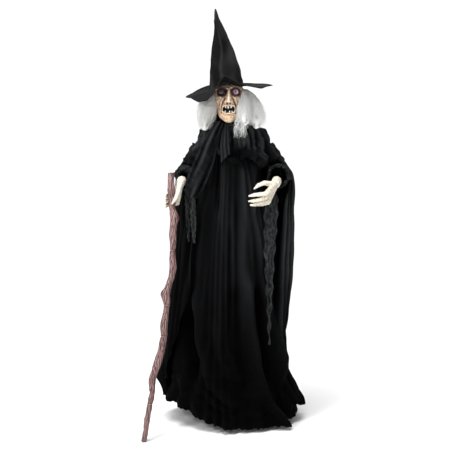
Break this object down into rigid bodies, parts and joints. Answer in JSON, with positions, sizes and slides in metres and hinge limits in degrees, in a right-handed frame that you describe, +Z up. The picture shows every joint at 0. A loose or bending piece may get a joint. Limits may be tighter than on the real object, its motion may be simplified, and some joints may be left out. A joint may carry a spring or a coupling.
{
  "type": "animated witch figure",
  "caption": "Life-size standing witch in a tall pointed hat and black layered gown, leaning on a crooked staff, with a powered waist and head.",
  "frame": {"origin": "centre of the base hub's underside, on the floor", "axes": "+Z up along the pole, the figure faces -Y, +X towards its left hand"},
  "size_m": [0.6797, 0.6777, 1.8257],
  "materials": {
    "powder_coat": "satin black powder coat",
    "housing_plastic": "fine moulded texture",
    "end_rubber": "matt",
    "zinc_steel": "zinc plated",
    "motor_steel": "plain",
    "bush_nylon": "natural nylon",
    "shell_plastic": "blow moulded",
    "board": "solder mask",
    "cell_wrap": "shrink wrap",
    "speaker_cone": "paper cone and steel frame",
    "inlet_black": "smooth",
    "button_red": "smooth",
    "switch_black": "ribbed",
    "gown_cloth": "black woven polyester",
    "gauze_cloth": "crinkled gauze",
    "hat_cloth": "stiffened felt-like cloth",
    "mask_skin": "painted latex with brown airbrushing",
    "eye_white": "cloudy, clear coated",
    "lamp": "clear lens",
    "tooth": "glossy",
    "hair": "grey synthetic strands",
    "hand_plastic": "ivory with tan wash in the creases",
    "staff_plastic": "moulded bark with a dark wash"
  },
  "bodies": {
    "stand": {"base_hub": "housing_plastic", "base_leg_front": "powder_coat", "base_leg_rear": "powder_coat", "base_leg_left": "powder_coat", "base_leg_right": "powder_coat", "leg_end_caps": "end_rubber", "lower_pole": "powder_coat", "upper_pole": "powder_coat", "pole_bolt": "zinc_steel", "waist_housing": "housing_plastic", "waist_lid": "housing_plastic", "waist_screws": "zinc_steel", "waist_gearmotor": "motor_steel", "waist_bushes": "bush_nylon", "control_box": "housing_plastic", "battery_cells": "cell_wrap", "circuit_board": "board", "speaker": "speaker_cone", "dc_inlet": "inlet_black", "gown_skirt": "gown_cloth", "cloak_skirt": "gown_cloth"},
    "waist_pinion_body": {"waist_pinion": "bush_nylon"},
    "try_me_button_body": {"try_me_button": "button_red"},
    "power_switch_body": {"power_switch": "switch_black"},
    "battery_door_body": {"battery_door": "housing_plastic"},
    "torso": {"waist_spindle": "zinc_steel", "waist_gear": "bush_nylon", "torso_frame": "powder_coat", "chest_shell_front": "shell_plastic", "chest_shell_rear": "shell_plastic", "neck_housing": "housing_plastic", "neck_lid": "housing_plastic", "neck_bushes": "bush_nylon", "neck_gearmotor": "motor_steel", "gown_bodice": "gown_cloth", "shoulder_cape": "gown_cloth", "neck_scarf": "gown_cloth"},
    "neck_pinion_body": {"neck_pinion": "bush_nylon"},
    "head": {"neck_shaft": "zinc_steel", "neck_gear": "bush_nylon", "head_core": "shell_plastic", "face_mask": "mask_skin", "left_eye": "eye_white", "right_eye": "eye_white", "eye_lamps": "lamp", "teeth": "tooth", "wig": "hair", "hat_cone": "hat_cloth", "hat_brim": "hat_cloth"},
    "left_arm": {"left_arm_tube": "powder_coat", "left_sleeve": "gown_cloth", "left_sleeve_drape": "gauze_cloth"},
    "left_hand_body": {"left_hand": "hand_plastic"},
    "right_arm": {"right_arm_tube": "powder_coat", "right_sleeve": "gown_cloth", "right_sleeve_drape": "gauze_cloth", "right_hand": "hand_plastic", "staff_upper": "staff_plastic", "staff_middle": "staff_plastic", "staff_lower": "staff_plastic"}
  },
  "joints": [
    {"name": "waist_turn", "type": "hinge", "parent": "stand", "child": "torso", "pos_m": [0, 0, 0.85], "axis": [0, 0, 1], "range_deg": [-12, 12]},
    {"name": "waist_pinion_spin", "type": "hinge", "parent": "stand", "child": "waist_pinion_body", "pos_m": [0, 0.0525, 0.86], "axis": [0, 0, 1], "range_deg": [-48, 48]},
    {"name": "head_turn", "type": "hinge", "parent": "torso", "child": "head", "pos_m": [-0.02, -0.095, 1.3], "axis": [0, 0, 1], "range_deg": [-30, 30]},
    {"name": "neck_pinion_spin", "type": "hinge", "parent": "torso", "child": "neck_pinion_body", "pos_m": [-0.02, -0.065, 1.27], "axis": [0, 0, 1], "range_deg": [-90, 90]},
    {"name": "left_arm_swing", "type": "hinge", "parent": "torso", "child": "left_arm", "pos_m": [0.124, 0, 1.215], "axis": [-1, 0, 0], "range_deg": [-5, 20]},
    {"name": "left_wrist_turn", "type": "hinge", "parent": "left_arm", "child": "left_hand_body", "pos_m": [0.183, -0.2, 1.062], "axis": [-0.2287, -0.9734, -0.0146], "range_deg": [-30, 30]},
    {"name": "right_arm_swing", "type": "hinge", "parent": "torso", "child": "right_arm", "pos_m": [-0.124, 0, 1.215], "axis": [-1, 0, 0], "range_deg": [0, 10]},
    {"name": "try_me_button_press", "type": "slide", "parent": "stand", "child": "try_me_button_body", "axis": [0, 0, -1], "range_m": [0, 0.002], "stiffness_N_per_m": 500},
    {"name": "power_switch_slide", "type": "slide", "parent": "stand", "child": "power_switch_body", "axis": [1, 0, 0], "range_m": [0, 0.006]},
    {"name": "battery_door_open", "type": "hinge", "parent": "stand", "child": "battery_door_body", "pos_m": [0, 0.064, 0.568], "axis": [-1, 0, 0], "range_deg": [0, 110]}
  ],
  "couplings": [
    {"joint": "waist_pinion_spin", "follows": "waist_turn", "ratio": -4},
    {"joint": "neck_pinion_spin", "follows": "head_turn", "ratio": -3}
  ]
}
